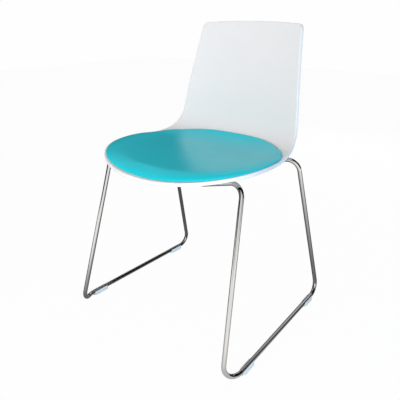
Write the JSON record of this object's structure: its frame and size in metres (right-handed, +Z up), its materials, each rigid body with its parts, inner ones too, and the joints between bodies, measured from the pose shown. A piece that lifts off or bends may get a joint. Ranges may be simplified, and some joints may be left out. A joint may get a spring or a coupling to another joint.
{
  "type": "visitor chair",
  "caption": "Visitor chair: one-piece moulded plastic shell on a chromed bent-rod sled base, with an upholstered seat pad and clip-on floor glides",
  "frame": {"origin": "on the floor, under the middle of the chair's bounding box", "axes": "Z is up, the sitter faces -Y, +X is to the right for someone who stands in front and looks at the chair"},
  "size_m": [0.562, 0.4941, 0.7876],
  "materials": {
    "shell_plastic": "satin moulded",
    "rod_chrome": "polished chrome plate",
    "glide_plastic": "natural white, slightly translucent",
    "fastener_steel": "zinc plated",
    "insert_brass": "knurled, as moulded in",
    "pad_leatherette": "smooth semi-gloss leatherette",
    "pad_foam": "open-cell foam",
    "board_wood": "bent plywood"
  },
  "bodies": {
    "root": {"seat_shell": "shell_plastic", "right_sled_rod": "rod_chrome", "left_sled_rod": "rod_chrome", "front_right_glide": "glide_plastic", "front_left_glide": "glide_plastic", "rear_right_glide": "glide_plastic", "rear_left_glide": "glide_plastic", "right_mounting_plate": "rod_chrome", "left_mounting_plate": "rod_chrome", "plate_weld_beads": "rod_chrome", "rod_butt_welds": "rod_chrome", "shell_screws": "fastener_steel", "shell_screw_washers": "fastener_steel", "shell_inserts": "insert_brass", "pad_cover": "pad_leatherette", "pad_foam": "pad_foam", "pad_board": "board_wood", "pad_tee_nuts": "fastener_steel", "pad_screws": "fastener_steel", "pad_screw_washers": "fastener_steel"}
  },
  "joints": []
}
